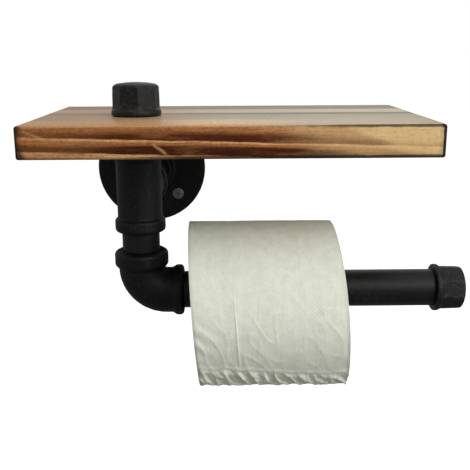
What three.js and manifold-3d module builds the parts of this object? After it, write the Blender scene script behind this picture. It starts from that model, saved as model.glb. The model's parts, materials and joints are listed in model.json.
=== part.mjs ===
// A toilet paper holder built from malleable-iron pipe fittings, with a small wooden shelf on top.
// Millimetres, +Z up, +X along the arm, +Y into the wall.
// The origin is the centre of the wall flange's back face, on the wall.

import * as THREE from 'three';
import { mergeVertices } from 'three/addons/utils/BufferGeometryUtils.js';
import Module from 'manifold-3d';

const wasm = await Module();
wasm.setup();

// ---------- driving dimensions ----------

const GAP = 0.3;                    // between pieces that touch on the real object
const ROUND_SIDES = 24;             // sides of a pipe or a fitting
const CORNER_STEPS = 2;             // facets on a rounded corner

const PIPE_OD = 26.9;               // 3/4 inch pipe
const PIPE_WALL = 2.65;
const THREAD_DEPTH = 0.65;          // a threaded end is a plain turned end, this much lower
const THREAD_IN = 14;               // how far a thread reaches into its fitting
const THREAD_CHAMFER = 1.2;
const MOUTH_CHAMFER = 0.8;          // at the mouth of a threaded bore

const WALL_DISTANCE = 98;           // from the wall to the upright pipe's axis

const FLANGE_OD = 89;
const FLANGE_PLATE = 6;
const FLANGE_BEHIND_THREAD = 4;     // bore left between the nipple's end and the wall
const HUB_WALL = 4.4;
const HUB_FILLET = 3;
const RIM_ROUND = 2;

const SCREW_COUNT = 4;
const SCREW_FIRST_ANGLE = 45;       // degrees from +X towards +Z
const SCREW_INWARD = 1;             // the screws stand this far inside the middle of the plate's ring
const SCREW_HEAD_OD = 9.4;
const SCREW_HEAD_HEIGHT = 2.9;
const SCREW_HEAD_SINK = 0.2;        // the head sits this far below the plate's face
const SCREW_SHANK_OD = 4;
const SCREW_LENGTH = 40;
const RECESS_SPAN = 4.4;            // cross recess in the head
const RECESS_WIDTH = 1.1;
const RECESS_DEPTH = 1.6;
const PLUG_WALL = 1.7;
const PLUG_START = 2.5;             // the plug's collar lies this deep in the wall
const PLUG_BARB = 0.5;              // how far its rings stand out
const PLUG_RINGS = 4;
const PLUG_TIP = 2;                 // closed end of the plug, past the screw

const TEE_WALL = 2.9;
const TEE_BEAD_RISE = 2.1;          // a bead's height over the fitting's body
const TEE_BEAD_WIDTH = 10;
const TEE_BEHIND_THREAD = 0.6;      // between a thread's end and the crossing pipe's wall

const LOWER_EXPOSED = 14.6;         // pipe showing between the tee and the elbow
const ELBOW_WALL = 3.6;
const ELBOW_CROTCH = 1.3;           // radius inside the bend
const ELBOW_THREAD_PAST = 1.6;      // the thread's end lies this far round the bend
const ELBOW_STEPS = 18;             // facets along the elbow
const INLET_BEAD_RISE = 2.65;
const INLET_BEAD_WIDTH = 11.5;
const OUTLET_BEAD_RISE = 1.9;
const OUTLET_BEAD_WIDTH = 7;
const BEAD_ROUND = 2.2;

const ARM_EXPOSED = 183;            // pipe showing between the elbow and the end cap

const CAP_END = 8;                  // metal between a cap's thread and the top of its dome
const CAP_WALL = 2.33;              // at the flats of the octagon
const CAP_BEAD_WALL = 4.2;
const CAP_BEAD_WIDTH = 6;
const CAP_SIDES = 8;
const CAP_TAPER = 0.6;              // the octagon is this much smaller at the dome
const CAP_DOME = 3;
const CAP_DOME_STEPS = 4;
const TOP_CAP_TURN = 10.5;          // degrees that each cap stopped past square
const END_CAP_TURN = 11.5;

const BOARD_LENGTH = 262;
const BOARD_DEPTH = 160.5;
const BOARD_THICKNESS = 20.5;
const BOARD_OVERHANG = 66;          // from the upright pipe's axis to the board's left end
const BOARD_FLANGE_GAP = 2.8;       // between the board's back edge and the flange plate
const BOARD_ROUND = 1.2;
const BOARD_HOLE_CLEARANCE = 0.6;   // around the shelf nipple

const ROLL_OD = 121;
const ROLL_WIDTH = 105;
const CORE_BORE = 47;
const CORE_WALL = 1.2;
const ROLL_START = 8.1;             // from the elbow's mouth to the roll

// ---------- derived sizes ----------

const PIPE_R = PIPE_OD / 2;
const PIPE_BORE_R = PIPE_R - PIPE_WALL;
const THREAD_R = PIPE_R - THREAD_DEPTH;
const TAPPED_R = THREAD_R + GAP;    // threaded bore of a fitting
const TAPPED_DEPTH = THREAD_IN + 2 * GAP;

const PLATE_R = FLANGE_OD / 2;
const HUB_R = TAPPED_R + HUB_WALL;
const HUB_TOP = THREAD_IN + FLANGE_BEHIND_THREAD;
const SCREW_CIRCLE_R = (HUB_R + HUB_FILLET + PLATE_R - RIM_ROUND) / 2 - SCREW_INWARD;
const SCREW_TIP = FLANGE_PLATE - SCREW_LENGTH;
const HEAD_TOP = FLANGE_PLATE - SCREW_HEAD_SINK;
const HEAD_BOTTOM = HEAD_TOP - SCREW_HEAD_HEIGHT;

const TEE_R = TAPPED_R + TEE_WALL;
const TEE_HALF = TEE_R + THREAD_IN + TEE_BEHIND_THREAD;
const BOARD_BOTTOM = TEE_HALF + GAP;
const BOARD_TOP = BOARD_BOTTOM + BOARD_THICKNESS;
const CAP_BASE = BOARD_TOP + GAP;

const ELBOW_R = TAPPED_R + ELBOW_WALL;
const ELBOW_BEND = ELBOW_R + ELBOW_CROTCH;      // centre-line radius
const ELBOW_HALF = ELBOW_BEND + THREAD_IN - ELBOW_THREAD_PAST;
const INLET_Z = -TEE_HALF - LOWER_EXPOSED;
const ARM_Z = INLET_Z - ELBOW_HALF;
const END_CAP_X = ELBOW_HALF + ARM_EXPOSED;
const CAP_LENGTH = TAPPED_DEPTH + CAP_END;

const CORE_R = CORE_BORE / 2;
const CORE_OUTER_R = CORE_R + CORE_WALL;
const ROLL_Z = ARM_Z + PIPE_R + GAP - CORE_R;   // the core hangs on the top of the arm
const ROLL_X = ELBOW_HALF + ROLL_START;

// ---------- materials ----------

const iron = new THREE.MeshStandardMaterial({ color: 0x1c1c1d, roughness: 0.55, metalness: 0.8 });
const capIron = new THREE.MeshStandardMaterial({ color: 0x2a2b2c, roughness: 0.5, metalness: 0.8 });
const blackScrew = new THREE.MeshStandardMaterial({ color: 0x151515, roughness: 0.4, metalness: 0.9 });
const plugPlastic = new THREE.MeshStandardMaterial({ color: 0x8f9396, roughness: 0.6, metalness: 0 });
const wood = new THREE.MeshStandardMaterial({ color: 0x9c7448, roughness: 0.6, metalness: 0 });
const card = new THREE.MeshStandardMaterial({ color: 0xa98f6c, roughness: 0.9, metalness: 0 });
const paper = new THREE.MeshStandardMaterial({ color: 0xe4e6da, roughness: 0.95, metalness: 0 });

// ---------- geometry helpers ----------

// A closed geometry with shared vertices and no collapsed triangles.
function closed(geometry) {
  geometry.deleteAttribute('normal');
  geometry.deleteAttribute('uv');
  const merged = mergeVertices(geometry, 1e-4);
  const from = merged.index.array;
  const kept = [];
  for (let i = 0; i < from.length; i += 3) {
    const [a, b, c] = [from[i], from[i + 1], from[i + 2]];
    if (a !== b && b !== c && c !== a) kept.push(a, b, c);
  }
  merged.setIndex(kept);
  return merged;
}

function solid(geometry) {
  const shape = closed(geometry);
  return new wasm.Manifold(new wasm.Mesh({
    numProp: 3,
    vertProperties: new Float32Array(shape.attributes.position.array),
    triVerts: new Uint32Array(shape.index.array),
  }));
}

function geometryOf(manifold) {
  const mesh = manifold.getMesh();
  const geometry = new THREE.BufferGeometry();
  geometry.setAttribute('position', new THREE.BufferAttribute(mesh.vertProperties, 3));
  geometry.setIndex(new THREE.BufferAttribute(mesh.triVerts, 1));
  return geometry;
}

// Points [radius, height] turned about the Y axis. They run up the outside and down the inside.
function turned(points, sides = ROUND_SIDES) {
  return new THREE.LatheGeometry(points.map(([r, y]) => new THREE.Vector2(r, y)), sides);
}

// The same for a ring, whose outline closes on itself.
function ring(points, sides = ROUND_SIDES) {
  return turned([...points, points[0]], sides);
}

// Points of an arc about [r, y], from one angle to another in degrees.
function arc(r, y, radius, from, to, steps = CORNER_STEPS) {
  return Array.from({ length: steps + 1 }, (_, i) => {
    const angle = THREE.MathUtils.degToRad(from + (to - from) * i / steps);
    return [r + radius * Math.cos(angle), y + radius * Math.sin(angle)];
  });
}

// Outside of a band with rounded edges, from its lower edge to its upper edge.
function band(radius, low, high, round) {
  return [
    ...arc(radius - round, low + round, round, -90, 0),
    ...arc(radius - round, high - round, round, 0, 90),
  ];
}

// A plain rod from one height to another.
function rod(radius, low, high) {
  return turned([[0, low], [radius, low], [radius, high], [0, high]]);
}

// The tapped bore of a fitting: its mouth is at `mouth` and it goes down from there.
function tapping(mouth) {
  const below = mouth - MOUTH_CHAMFER;
  return turned([
    [0, mouth - TAPPED_DEPTH],
    [TAPPED_R, mouth - TAPPED_DEPTH],
    [TAPPED_R, below],
    [TAPPED_R + MOUTH_CHAMFER, mouth],
    [TAPPED_R + MOUTH_CHAMFER, mouth + GAP],
    [0, mouth + GAP],
  ]);
}

const holder = new THREE.Group();
const upright = new THREE.Group();   // everything on the upright pipe's axis
upright.position.set(0, -WALL_DISTANCE, 0);
holder.add(upright);

function place(parent, name, geometry, material, position = [0, 0, 0], rotation = [0, 0, 0]) {
  const mesh = new THREE.Mesh(geometry, material);
  mesh.name = name;
  mesh.position.set(...position);
  mesh.rotation.set(...rotation);
  parent.add(mesh);
  return mesh;
}

const UP = [Math.PI / 2, 0, 0];                // turns local +Y to +Z
const OUTWARD = [Math.PI, 0, 0];               // turns local +Y to -Y, away from the wall
const ALONG_ARM = [0, 0, -Math.PI / 2];        // turns local +Y to +X

// ---------- pipe ----------

// A nipple whose full-size stretch runs from 0 to `exposed`, with a threaded end beyond each side.
function nipple(exposed) {
  const low = -THREAD_IN;
  const high = exposed + THREAD_IN;
  return ring([
    [PIPE_BORE_R, low],
    [THREAD_R - THREAD_CHAMFER, low],
    [THREAD_R, low + THREAD_CHAMFER],
    [THREAD_R, 0],
    [PIPE_R, 0],
    [PIPE_R, exposed],
    [THREAD_R, exposed],
    [THREAD_R, high - THREAD_CHAMFER],
    [THREAD_R - THREAD_CHAMFER, high],
    [PIPE_BORE_R, high],
  ]);
}

// A nipple between two fittings' mouths, with a gap at each.
function nippleBetween(mouths) {
  return nipple(mouths - 2 * GAP);
}

// ---------- flange, screws and plugs ----------

// The middle of each screw, as [x, z] on the wall.
const screwPlaces = Array.from({ length: SCREW_COUNT }, (_, i) => {
  const angle = THREE.MathUtils.degToRad(SCREW_FIRST_ANGLE + i * 360 / SCREW_COUNT);
  return [Math.cos(angle) * SCREW_CIRCLE_R, Math.sin(angle) * SCREW_CIRCLE_R];
});

// The countersunk outline of a screw's head and shank, grown by `clear`.
function countersink(clear, low, high) {
  const headR = SCREW_HEAD_OD / 2 + clear;
  const shankR = SCREW_SHANK_OD / 2 + clear;
  return turned([
    [0, low],
    [shankR, low],
    [shankR, HEAD_BOTTOM],
    [headR, HEAD_TOP],
    [headR, high],
    [0, high],
  ], ROUND_SIDES / 2);
}

function wallFlange() {
  const blank = turned([
    [0, 0],
    [PLATE_R, 0],
    ...arc(PLATE_R - RIM_ROUND, FLANGE_PLATE - RIM_ROUND, RIM_ROUND, 0, 90),
    ...arc(HUB_R + HUB_FILLET, FLANGE_PLATE + HUB_FILLET, HUB_FILLET, 270, 180),
    ...arc(HUB_R - RIM_ROUND, HUB_TOP - RIM_ROUND, RIM_ROUND, 0, 90),
    [0, HUB_TOP],
  ]);
  const bore = turned([
    [0, -GAP],
    [TAPPED_R, -GAP],
    [TAPPED_R, HUB_TOP - MOUTH_CHAMFER],
    [TAPPED_R + MOUTH_CHAMFER, HUB_TOP],
    [TAPPED_R + MOUTH_CHAMFER, HUB_TOP + GAP],
    [0, HUB_TOP + GAP],
  ]);
  let flange = solid(blank).subtract(solid(bore));
  for (const [x, z] of screwPlaces) {
    // Local +Z is the holder's -Z once the flange is turned outward.
    const hole = countersink(GAP, -GAP, HUB_TOP).translate(x, 0, -z);
    flange = flange.subtract(solid(hole));
  }
  return geometryOf(flange);
}

function wallScrew() {
  const blank = turned([
    [0, SCREW_TIP],
    [SCREW_SHANK_OD / 2, SCREW_TIP + SCREW_SHANK_OD],
    [SCREW_SHANK_OD / 2, HEAD_BOTTOM],
    [SCREW_HEAD_OD / 2, HEAD_TOP],
    [0, HEAD_TOP],
  ], ROUND_SIDES / 2);
  let screw = solid(blank);
  for (const [wide, deep] of [[RECESS_SPAN, RECESS_WIDTH], [RECESS_WIDTH, RECESS_SPAN]]) {
    const slot = new THREE.BoxGeometry(wide, 2 * RECESS_DEPTH, deep).translate(0, HEAD_TOP, 0);
    screw = screw.subtract(solid(slot));
  }
  return geometryOf(screw);
}

// A ribbed wall plug around the screw, open at its collar. Local +Y is out of the wall.
function wallPlug() {
  const bore = SCREW_SHANK_OD / 2 + GAP;
  const outer = bore + PLUG_WALL;
  const floor = SCREW_TIP - GAP;
  const low = floor - PLUG_TIP;
  const pitch = (-PLUG_START - floor) / PLUG_RINGS;
  const rings = Array.from({ length: PLUG_RINGS }, (_, i) => [
    [outer - PLUG_BARB, floor + i * pitch],
    [outer, floor + (i + 1) * pitch],
  ]).flat();
  return closed(turned([
    [0, low],
    [outer - 2 * PLUG_BARB, low],
    ...rings,
    [bore, -PLUG_START],
    [bore, floor],
    [0, floor],
  ], ROUND_SIDES / 2));
}

// ---------- tee and elbow ----------

function tee() {
  const beadR = TEE_R + TEE_BEAD_RISE;
  const run = turned([
    [0, -TEE_HALF],
    ...band(beadR, -TEE_HALF, -TEE_HALF + TEE_BEAD_WIDTH, BEAD_ROUND),
    [TEE_R, -TEE_HALF + TEE_BEAD_WIDTH],
    [TEE_R, TEE_HALF - TEE_BEAD_WIDTH],
    ...band(beadR, TEE_HALF - TEE_BEAD_WIDTH, TEE_HALF, BEAD_ROUND),
    [0, TEE_HALF],
  ]).rotateX(Math.PI / 2);
  const branch = turned([
    [0, 0],
    [TEE_R, 0],
    [TEE_R, TEE_HALF - TEE_BEAD_WIDTH],
    ...band(beadR, TEE_HALF - TEE_BEAD_WIDTH, TEE_HALF, BEAD_ROUND),
    [0, TEE_HALF],
  ]);
  const ways = [
    tapping(TEE_HALF),
    tapping(TEE_HALF).rotateX(Math.PI / 2),
    tapping(TEE_HALF).rotateX(-Math.PI / 2),
    rod(PIPE_BORE_R, -TEE_HALF, TEE_HALF).rotateX(Math.PI / 2),
    rod(PIPE_BORE_R, 0, TEE_HALF),
  ];
  let body = solid(run).add(solid(branch));
  for (const way of ways) body = body.subtract(solid(way));
  return geometryOf(body);
}

// The elbow's centre line: straight down from `reach` above the centre, round the bend, and out.
class Way extends THREE.Curve {
  constructor(reach) {
    super();
    this.straight = reach - ELBOW_BEND;
    this.around = ELBOW_BEND * Math.PI / 2;
  }

  getPoint(t, target = new THREE.Vector3()) {
    const far = t * (2 * this.straight + this.around);
    const lead = this.straight - far;
    if (lead >= 0) return target.set(0, 0, ELBOW_BEND + lead);
    const past = far - this.straight - this.around;
    if (past >= 0) return target.set(ELBOW_BEND + past, 0, 0);
    const angle = -lead / ELBOW_BEND;
    return target.set(ELBOW_BEND * (1 - Math.cos(angle)), 0, ELBOW_BEND * (1 - Math.sin(angle)));
  }
}

// A bar of this radius along the elbow's centre line.
function bentBar(radius, reach) {
  const section = new THREE.Shape();
  section.absarc(0, 0, radius, 0, 2 * Math.PI);
  return new THREE.ExtrudeGeometry(section, {
    steps: ELBOW_STEPS,
    curveSegments: ROUND_SIDES,
    extrudePath: new Way(reach),
  });
}

// The bead round a mouth of the elbow, along local +Y.
function mouthBead(rise, width) {
  const low = ELBOW_HALF - width;
  return turned([[0, low], ...band(ELBOW_R + rise, low, ELBOW_HALF, BEAD_ROUND), [0, ELBOW_HALF]]);
}

function elbow() {
  const beads = [
    mouthBead(INLET_BEAD_RISE, INLET_BEAD_WIDTH).rotateX(Math.PI / 2),
    mouthBead(OUTLET_BEAD_RISE, OUTLET_BEAD_WIDTH).rotateZ(-Math.PI / 2),
  ];
  const ways = [
    tapping(ELBOW_HALF).rotateX(Math.PI / 2),
    tapping(ELBOW_HALF).rotateZ(-Math.PI / 2),
    bentBar(PIPE_BORE_R, Math.max(ELBOW_BEND, ELBOW_HALF - TAPPED_DEPTH / 2)),
  ];
  let body = solid(bentBar(ELBOW_R, ELBOW_HALF - BEAD_ROUND));
  for (const bead of beads) body = body.add(solid(bead));
  for (const way of ways) body = body.subtract(solid(way));
  return geometryOf(body);
}

// ---------- caps ----------

// A cap with its mouth at 0 and its dome at CAP_LENGTH, along local +Y.
function cap(turnDegrees) {
  const beadR = TAPPED_R + CAP_BEAD_WALL;
  const cornerR = (TAPPED_R + CAP_WALL) / Math.cos(Math.PI / CAP_SIDES);
  const shoulder = CAP_LENGTH - CAP_DOME;
  const topR = cornerR - CAP_TAPER;
  const dome = Array.from({ length: CAP_DOME_STEPS }, (_, i) => {
    const share = (i + 1) / CAP_DOME_STEPS;
    return [topR * (1 - share), shoulder + CAP_DOME * Math.sqrt(1 - (1 - share) ** 2)];
  });
  const octagon = turned([[0, GAP], [cornerR, GAP], [topR, shoulder], ...dome], CAP_SIDES)
    .rotateY(THREE.MathUtils.degToRad(turnDegrees));
  const bead = turned([
    [0, 0],
    ...band(beadR, 0, CAP_BEAD_WIDTH, BEAD_ROUND),
    [0, CAP_BEAD_WIDTH],
  ]);
  const bore = tapping(0).rotateX(Math.PI);
  return geometryOf(solid(octagon).add(solid(bead)).subtract(solid(bore)));
}

// ---------- shelf board ----------

function shelfBoard() {
  const round = BOARD_ROUND;
  const outline = new THREE.Shape();
  const right = BOARD_LENGTH;
  const back = BOARD_DEPTH;
  outline.moveTo(round, 0);
  outline.lineTo(right - round, 0);
  outline.absarc(right - round, round, round, -Math.PI / 2, 0);
  outline.lineTo(right, back - round);
  outline.absarc(right - round, back - round, round, 0, Math.PI / 2);
  outline.lineTo(round, back);
  outline.absarc(round, back - round, round, Math.PI / 2, Math.PI);
  outline.lineTo(0, round);
  outline.absarc(round, round, round, Math.PI, 1.5 * Math.PI);
  const board = new THREE.ExtrudeGeometry(outline, {
    depth: BOARD_THICKNESS,
    bevelEnabled: false,
    curveSegments: 3,
  });
  const backEdge = WALL_DISTANCE - FLANGE_PLATE - BOARD_FLANGE_GAP;
  board.translate(-BOARD_OVERHANG, backEdge - BOARD_DEPTH, BOARD_BOTTOM);
  const hole = rod(PIPE_R + BOARD_HOLE_CLEARANCE, BOARD_BOTTOM - GAP, BOARD_TOP + GAP)
    .rotateX(Math.PI / 2);
  return geometryOf(solid(board).subtract(solid(hole)));
}

// ---------- roll ----------

function tube(innerR, outerR, length, sides) {
  return ring([[innerR, 0], [outerR, 0], [outerR, length], [innerR, length]], sides);
}

// ---------- assembly ----------

place(holder, 'wall_flange', wallFlange(), iron, [0, 0, 0], OUTWARD);
screwPlaces.forEach(([x, z], i) => {
  place(holder, `wall_screw_${i + 1}`, wallScrew(), blackScrew, [x, 0, z], OUTWARD);
  place(holder, `wall_plug_${i + 1}`, wallPlug(), plugPlastic, [x, 0, z], OUTWARD);
});

const wallNipple = nippleBetween(WALL_DISTANCE - TEE_HALF - HUB_TOP);
place(holder, 'wall_nipple', wallNipple, iron, [0, -HUB_TOP - GAP, 0], OUTWARD);

place(upright, 'tee', tee(), iron);
place(upright, 'shelf_nipple', nippleBetween(CAP_BASE - TEE_HALF), iron, [0, 0, TEE_HALF + GAP], UP);
place(upright, 'shelf_board', shelfBoard(), wood);
place(upright, 'top_cap', cap(TOP_CAP_TURN), capIron, [0, 0, CAP_BASE], UP);
place(upright, 'lower_nipple', nippleBetween(LOWER_EXPOSED), iron, [0, 0, INLET_Z + GAP], UP);

const arm = new THREE.Group();
arm.position.set(0, 0, ARM_Z);
upright.add(arm);
place(arm, 'elbow', elbow(), iron);
place(arm, 'arm_pipe', nippleBetween(ARM_EXPOSED), iron, [ELBOW_HALF + GAP, 0, 0], ALONG_ARM);
place(arm, 'end_cap', cap(END_CAP_TURN), capIron, [END_CAP_X, 0, 0], ALONG_ARM);

const roll = new THREE.Group();
roll.position.set(ROLL_X, 0, ROLL_Z);
upright.add(roll);
const coreTube = tube(CORE_R, CORE_OUTER_R, ROLL_WIDTH, ROUND_SIDES);
place(roll, 'roll_core', coreTube, card, [0, 0, 0], ALONG_ARM);
const paperTube = tube(CORE_OUTER_R + GAP, ROLL_OD / 2, ROLL_WIDTH, 2 * ROUND_SIDES);
place(roll, 'roll_paper', paperTube, paper, [0, 0, 0], ALONG_ARM);

export default holder;
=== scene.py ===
"""A toilet paper holder of black iron pipe fittings, with a scorched shelf board and a roll on its arm."""

import json
import math

import bpy
from bpy.props import FloatProperty, FloatVectorProperty, IntProperty, PointerProperty
from bpy.types import Operator, Panel, PropertyGroup
from mathutils import Matrix, Vector, noise

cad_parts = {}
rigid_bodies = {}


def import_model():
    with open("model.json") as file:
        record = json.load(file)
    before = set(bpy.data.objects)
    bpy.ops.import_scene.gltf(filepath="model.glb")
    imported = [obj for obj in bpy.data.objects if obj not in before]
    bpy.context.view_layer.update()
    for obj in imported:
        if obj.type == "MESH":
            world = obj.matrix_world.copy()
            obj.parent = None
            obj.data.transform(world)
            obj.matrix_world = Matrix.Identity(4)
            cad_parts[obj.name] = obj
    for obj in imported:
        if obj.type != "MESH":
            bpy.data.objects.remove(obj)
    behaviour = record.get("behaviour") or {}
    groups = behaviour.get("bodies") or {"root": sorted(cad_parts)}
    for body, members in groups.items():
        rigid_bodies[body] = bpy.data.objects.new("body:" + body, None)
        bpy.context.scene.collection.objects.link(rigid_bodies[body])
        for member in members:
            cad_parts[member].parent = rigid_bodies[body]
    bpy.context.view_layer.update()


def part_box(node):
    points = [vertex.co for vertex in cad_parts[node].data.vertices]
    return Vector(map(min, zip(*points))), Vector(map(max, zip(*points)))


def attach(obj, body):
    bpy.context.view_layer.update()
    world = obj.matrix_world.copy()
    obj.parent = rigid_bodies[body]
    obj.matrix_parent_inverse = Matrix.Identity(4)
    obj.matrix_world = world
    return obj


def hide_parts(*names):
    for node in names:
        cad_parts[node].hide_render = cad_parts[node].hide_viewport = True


bl_info = {
    "name": "Pipe-fitting paper holder",
    "version": (1, 0, 0),
    "blender": (4, 5, 0),
    "location": "3D View > Sidebar > Holder",
    "description": "A toilet paper holder of iron pipe fittings, a scorched board and a paper roll",
    "category": "Mesh",
}

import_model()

MM = 0.001
GAP = 0.3 * MM                      # what the frame leaves between touching pieces
OUTWARD = (90, 0, 0)                # turns local +Z to -Y, away from the wall
INWARD = (-90, 0, 0)                # turns local +Z to +Y, into the wall
ALONG_ARM = (0, 90, 0)              # turns local +Z to +X
SCREWS = 4
ROUND = 96                          # sides of a cast or wound piece, and of what cuts it
MIDDLE = 2 * MM                     # radius of the flat middle of a turned blank, bored out later


# ---------- values that a user would change ----------

def length(name, millimetres, description):
    """A length property. Its default is given in millimetres."""
    return FloatProperty(
        name=name, description=description, default=millimetres * MM, unit="LENGTH", precision=5
    )


def amount(name, default, description):
    return FloatProperty(name=name, description=description, default=default)


def degrees(name, default, description):
    return FloatProperty(
        name=name, description=description, default=math.radians(default), subtype="ANGLE"
    )


def watts(name, default, description):
    return FloatProperty(name=name, description=description, default=default, unit="POWER")


def linear(*channels):
    """A colour of 0 to 255 screen values, as the linear values that a shader takes."""
    return [((c / 255 + 0.055) / 1.055) ** 2.4 if c > 10 else c / 255 / 12.92 for c in channels]


def colour(name, screen, description):
    return FloatVectorProperty(
        name=name, description=description, default=linear(*screen), subtype="COLOR", min=0, max=1
    )


class PipeSizes(PropertyGroup):
    """Sizes that every pipe and fitting shares."""

    wall: length("Pipe wall", 2.65, "Wall thickness of the pipe")
    thread_in: length("Thread length", 14, "How far a thread reaches into its fitting")
    thread_low: length("Thread step", 0.65, "How far a thread's crest lies under the pipe's surface")
    thread_deep: length("Thread depth", 0.75, "From the crest of a thread to its root")
    pitch: length("Thread pitch", 1.814, "Distance from one turn of a thread to the next")
    chamfer: length("Mouth chamfer", 0.5, "Chamfer at the mouth of a threaded bore")
    sides: IntProperty(name="Sides", description="Sides of a round piece", default=72, min=24, max=160)


class CastingSizes(PropertyGroup):
    """Sizes of the cast fittings, and how rough their skin is."""

    hub_wall: length("Hub wall", 4.4, "Metal round the flange's thread")
    plate: length("Plate", 6, "Thickness of the flange's plate")
    hub_fillet: length("Hub fillet", 3, "Fillet between the plate and the hub")
    rim_round: length("Rim round", 2, "Rounding of the flange's rims")
    tee_wall: length("Tee wall", 2.9, "Metal round the tee's threads")
    tee_rise: length("Tee bead height", 2.1, "How far the tee's beads stand out")
    tee_bead: length("Tee bead width", 10, "Width of the tee's beads")
    elbow_wall: length("Elbow wall", 3.6, "Metal round the elbow's threads")
    crotch: length("Elbow crotch", 1.3, "Radius inside the elbow's bend")
    inlet_rise: length("Inlet bead height", 2.65, "How far the elbow's upper bead stands out")
    inlet_bead: length("Inlet bead width", 11.5, "Width of the elbow's upper bead")
    outlet_rise: length("Outlet bead height", 1.9, "How far the elbow's side bead stands out")
    outlet_bead: length("Outlet bead width", 7, "Width of the elbow's side bead")
    bead_round: length("Bead round", 2.5, "Rounding of a bead's edges")
    cap_wall: length("Cap wall", 2.33, "Metal at the flats of a cap's octagon")
    cap_bead_wall: length("Cap bead wall", 4.2, "Metal at a cap's bead")
    cap_bead: length("Cap bead width", 6, "Width of a cap's bead")
    cap_taper: length("Cap taper", 0.6, "How much narrower a cap is at its closed end")
    cap_round: length("Cap round", 5, "Rounding of a cap's closed end")
    cap_corner: length("Cap corner", 0.6, "Rounding of a cap's eight corners")
    top_turn: degrees("Top cap turn", 10.5, "How far past square the top cap stopped")
    end_turn: degrees("End cap turn", 11.5, "How far past square the end cap stopped")
    voxel: length("Casting grain", 0.55, "Grid that the castings are remeshed on")
    skin: length("Casting skin", 0.16, "How much the cast skin rises and falls")


class FixingSizes(PropertyGroup):
    """Sizes of the wall screws and their plugs."""

    head: length("Screw head", 9.4, "Diameter of a screw's head")
    head_high: length("Head height", 2.9, "Height of the countersunk head")
    sink: length("Head sink", 0.2, "How far the head lies below the plate's face")
    shank: length("Screw shank", 4, "Diameter over a screw's thread")
    long: length("Screw length", 40, "Length of a screw")
    pitch: length("Screw pitch", 1.8, "Distance between turns of a screw's thread")
    recess: length("Cross recess", 4.6, "Span of the cross recess")
    barb: length("Plug barb", 0.5, "How far a plug's rings stand out")


class BoardFinish(PropertyGroup):
    """Shape and colours of the shelf board."""

    edge: length("Edge round", 1.6, "Rounding of the board's edges")
    hole_rim: length("Hole rim", 0.7, "Chamfer round the hole")
    tilt: amount("Ring tilt", 0.33, "Slope of the growth rings, back towards the top")
    char: colour("Char", (82, 38, 16), "The scorched latewood")
    brown: colour("Brown", (180, 121, 72), "Scorched wood between the rings")
    honey: colour("Honey", (224, 176, 122), "The light lines beside the dark rings")
    tan: colour("Tan", (216, 184, 131), "Wood that the flame missed")
    grey: colour("Grey", (201, 192, 162), "The back of the board's top")


class RollShape(PropertyGroup):
    """Shape of the roll and its loose sheet."""

    radius: length("Wound radius", 59.8, "Radius of the wound roll, under the loose sheet")
    slant: degrees("Slant", 3.9, "How far the roll's ends lean, away from the elbow at the bottom")
    tilt: degrees("Tilt", 1.7, "How far the end beside the cap is pushed in at the back")
    layers: length("Layers", 0.22, "How much the wound layers stand in and out at the ends")
    dent: length("Dents", 0.45, "Depth of the soft dents in the wound paper")
    loose: length("Loose sheet", 0.35, "How far the loose sheet lies off the roll")
    crumple: length("Crumple", 1.9, "Height of the crumples at the loose sheet's end")
    paper: colour("Paper", (233, 236, 221), "The tissue")
    card: colour("Card", (150, 128, 98), "The card core")


class StageLook(PropertyGroup):
    """Camera, light and floor."""

    lens: FloatProperty(name="Lens", description="Focal length", default=55.84, unit="CAMERA")
    down: degrees("Camera down", 14.253, "How far the camera looks down")
    aside: degrees("Camera aside", 0.789, "How far the camera looks towards the arm's end")
    tilt: degrees("Camera tilt", 0.254, "How far the camera is tilted")
    place: FloatVectorProperty(
        name="Camera place", description="Where the camera stands", default=(0.0609, -0.6101, 0.0954),
        unit="LENGTH",
    )
    key: watts("Front light", 8.9, "Power of the front light")
    top: watts("Top light", 5.0, "Power of the top light")
    side: watts("Side light", 1.2, "Power that the side and back lights take a share of")
    air: amount("Air light", 0.49, "Strength of the light from above and all round")
    below: amount("Low light", 0.19, "Strength of the light from below")
    floor: colour("Floor", (236, 236, 234), "The pale floor")
    glow: amount("Floor glow", 0.62, "How strongly the floor shines by itself")


class IronFinish(PropertyGroup):
    """Colours of the metal and plastic pieces."""

    iron: colour("Iron", (9, 9, 9), "Black paint on the castings")
    cap: colour("Caps", (17, 17, 17), "The greyer caps")
    pipe: colour("Pipe", (17, 17, 17), "Black lacquer on the pipes")
    worn: colour("Worn iron", (46, 46, 46), "Where the paint is thin")
    screw: colour("Screws", (124, 124, 126), "The blackened screws")
    nylon: colour("Plugs", (150, 154, 157), "The nylon plugs")


GROUPS = {
    "pipe_sizes": PipeSizes,
    "casting_sizes": CastingSizes,
    "fixing_sizes": FixingSizes,
    "board_finish": BoardFinish,
    "roll_shape": RollShape,
    "iron_finish": IronFinish,
    "stage_look": StageLook,
}


# ---------- modelling ----------

def only(*objects):
    """Selects these objects and nothing else, in object mode."""
    if bpy.context.mode != "OBJECT":
        bpy.ops.object.mode_set(mode="OBJECT")
    for other in bpy.context.view_layer.objects:
        other.select_set(False)
    for obj in objects:
        obj.select_set(True)
    bpy.context.view_layer.objects.active = objects[0] if objects else None


def edit(obj, mode="VERT"):
    """Opens a mesh with all of it selected."""
    only(obj)
    bpy.ops.object.mode_set(mode="EDIT")
    bpy.ops.mesh.select_mode(type=mode)
    bpy.ops.mesh.select_all(action="SELECT")


def close(obj):
    """Merges doubles, turns the faces outwards and leaves edit mode."""
    edit(obj)
    bpy.ops.mesh.remove_doubles(threshold=1e-6)
    bpy.ops.mesh.normals_make_consistent(inside=False)
    bpy.ops.object.mode_set(mode="OBJECT")
    return obj


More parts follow.
